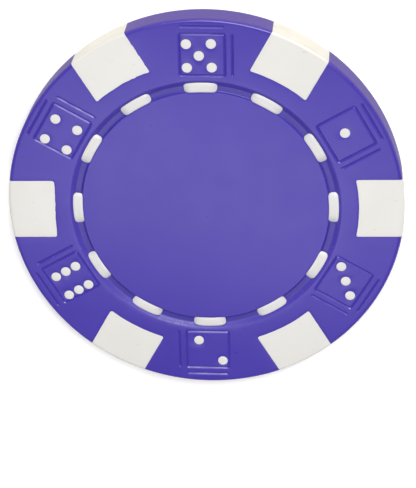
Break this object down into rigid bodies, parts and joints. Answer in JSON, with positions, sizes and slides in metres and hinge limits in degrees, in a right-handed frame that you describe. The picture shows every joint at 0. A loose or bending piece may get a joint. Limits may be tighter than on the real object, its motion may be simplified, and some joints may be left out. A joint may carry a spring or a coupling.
{
  "type": "casino chip",
  "caption": "Round flat gaming chip: a steel weight sealed in a two-colour moulding, with white edge blocks, pips and dashes in a ring groove round a bare label seat.",
  "frame": {"origin": "centre of the lower face: the chip stands on z = 0 and its axis is x = y = 0", "axes": "+Z along the chip's axis out of the upper face, +Y towards the five-pip die of the upper face, +X towards a white edge block"},
  "size_m": [0.039, 0.039, 0.0033],
  "materials": {
    "steel": "stamped, dull",
    "white_plastic": "satin, moulded",
    "purple_plastic": "satin, moulded"
  },
  "bodies": {
    "root": {"steel_weight": "steel", "white_inlay_moulding": "white_plastic", "purple_body": "purple_plastic"}
  },
  "joints": []
}
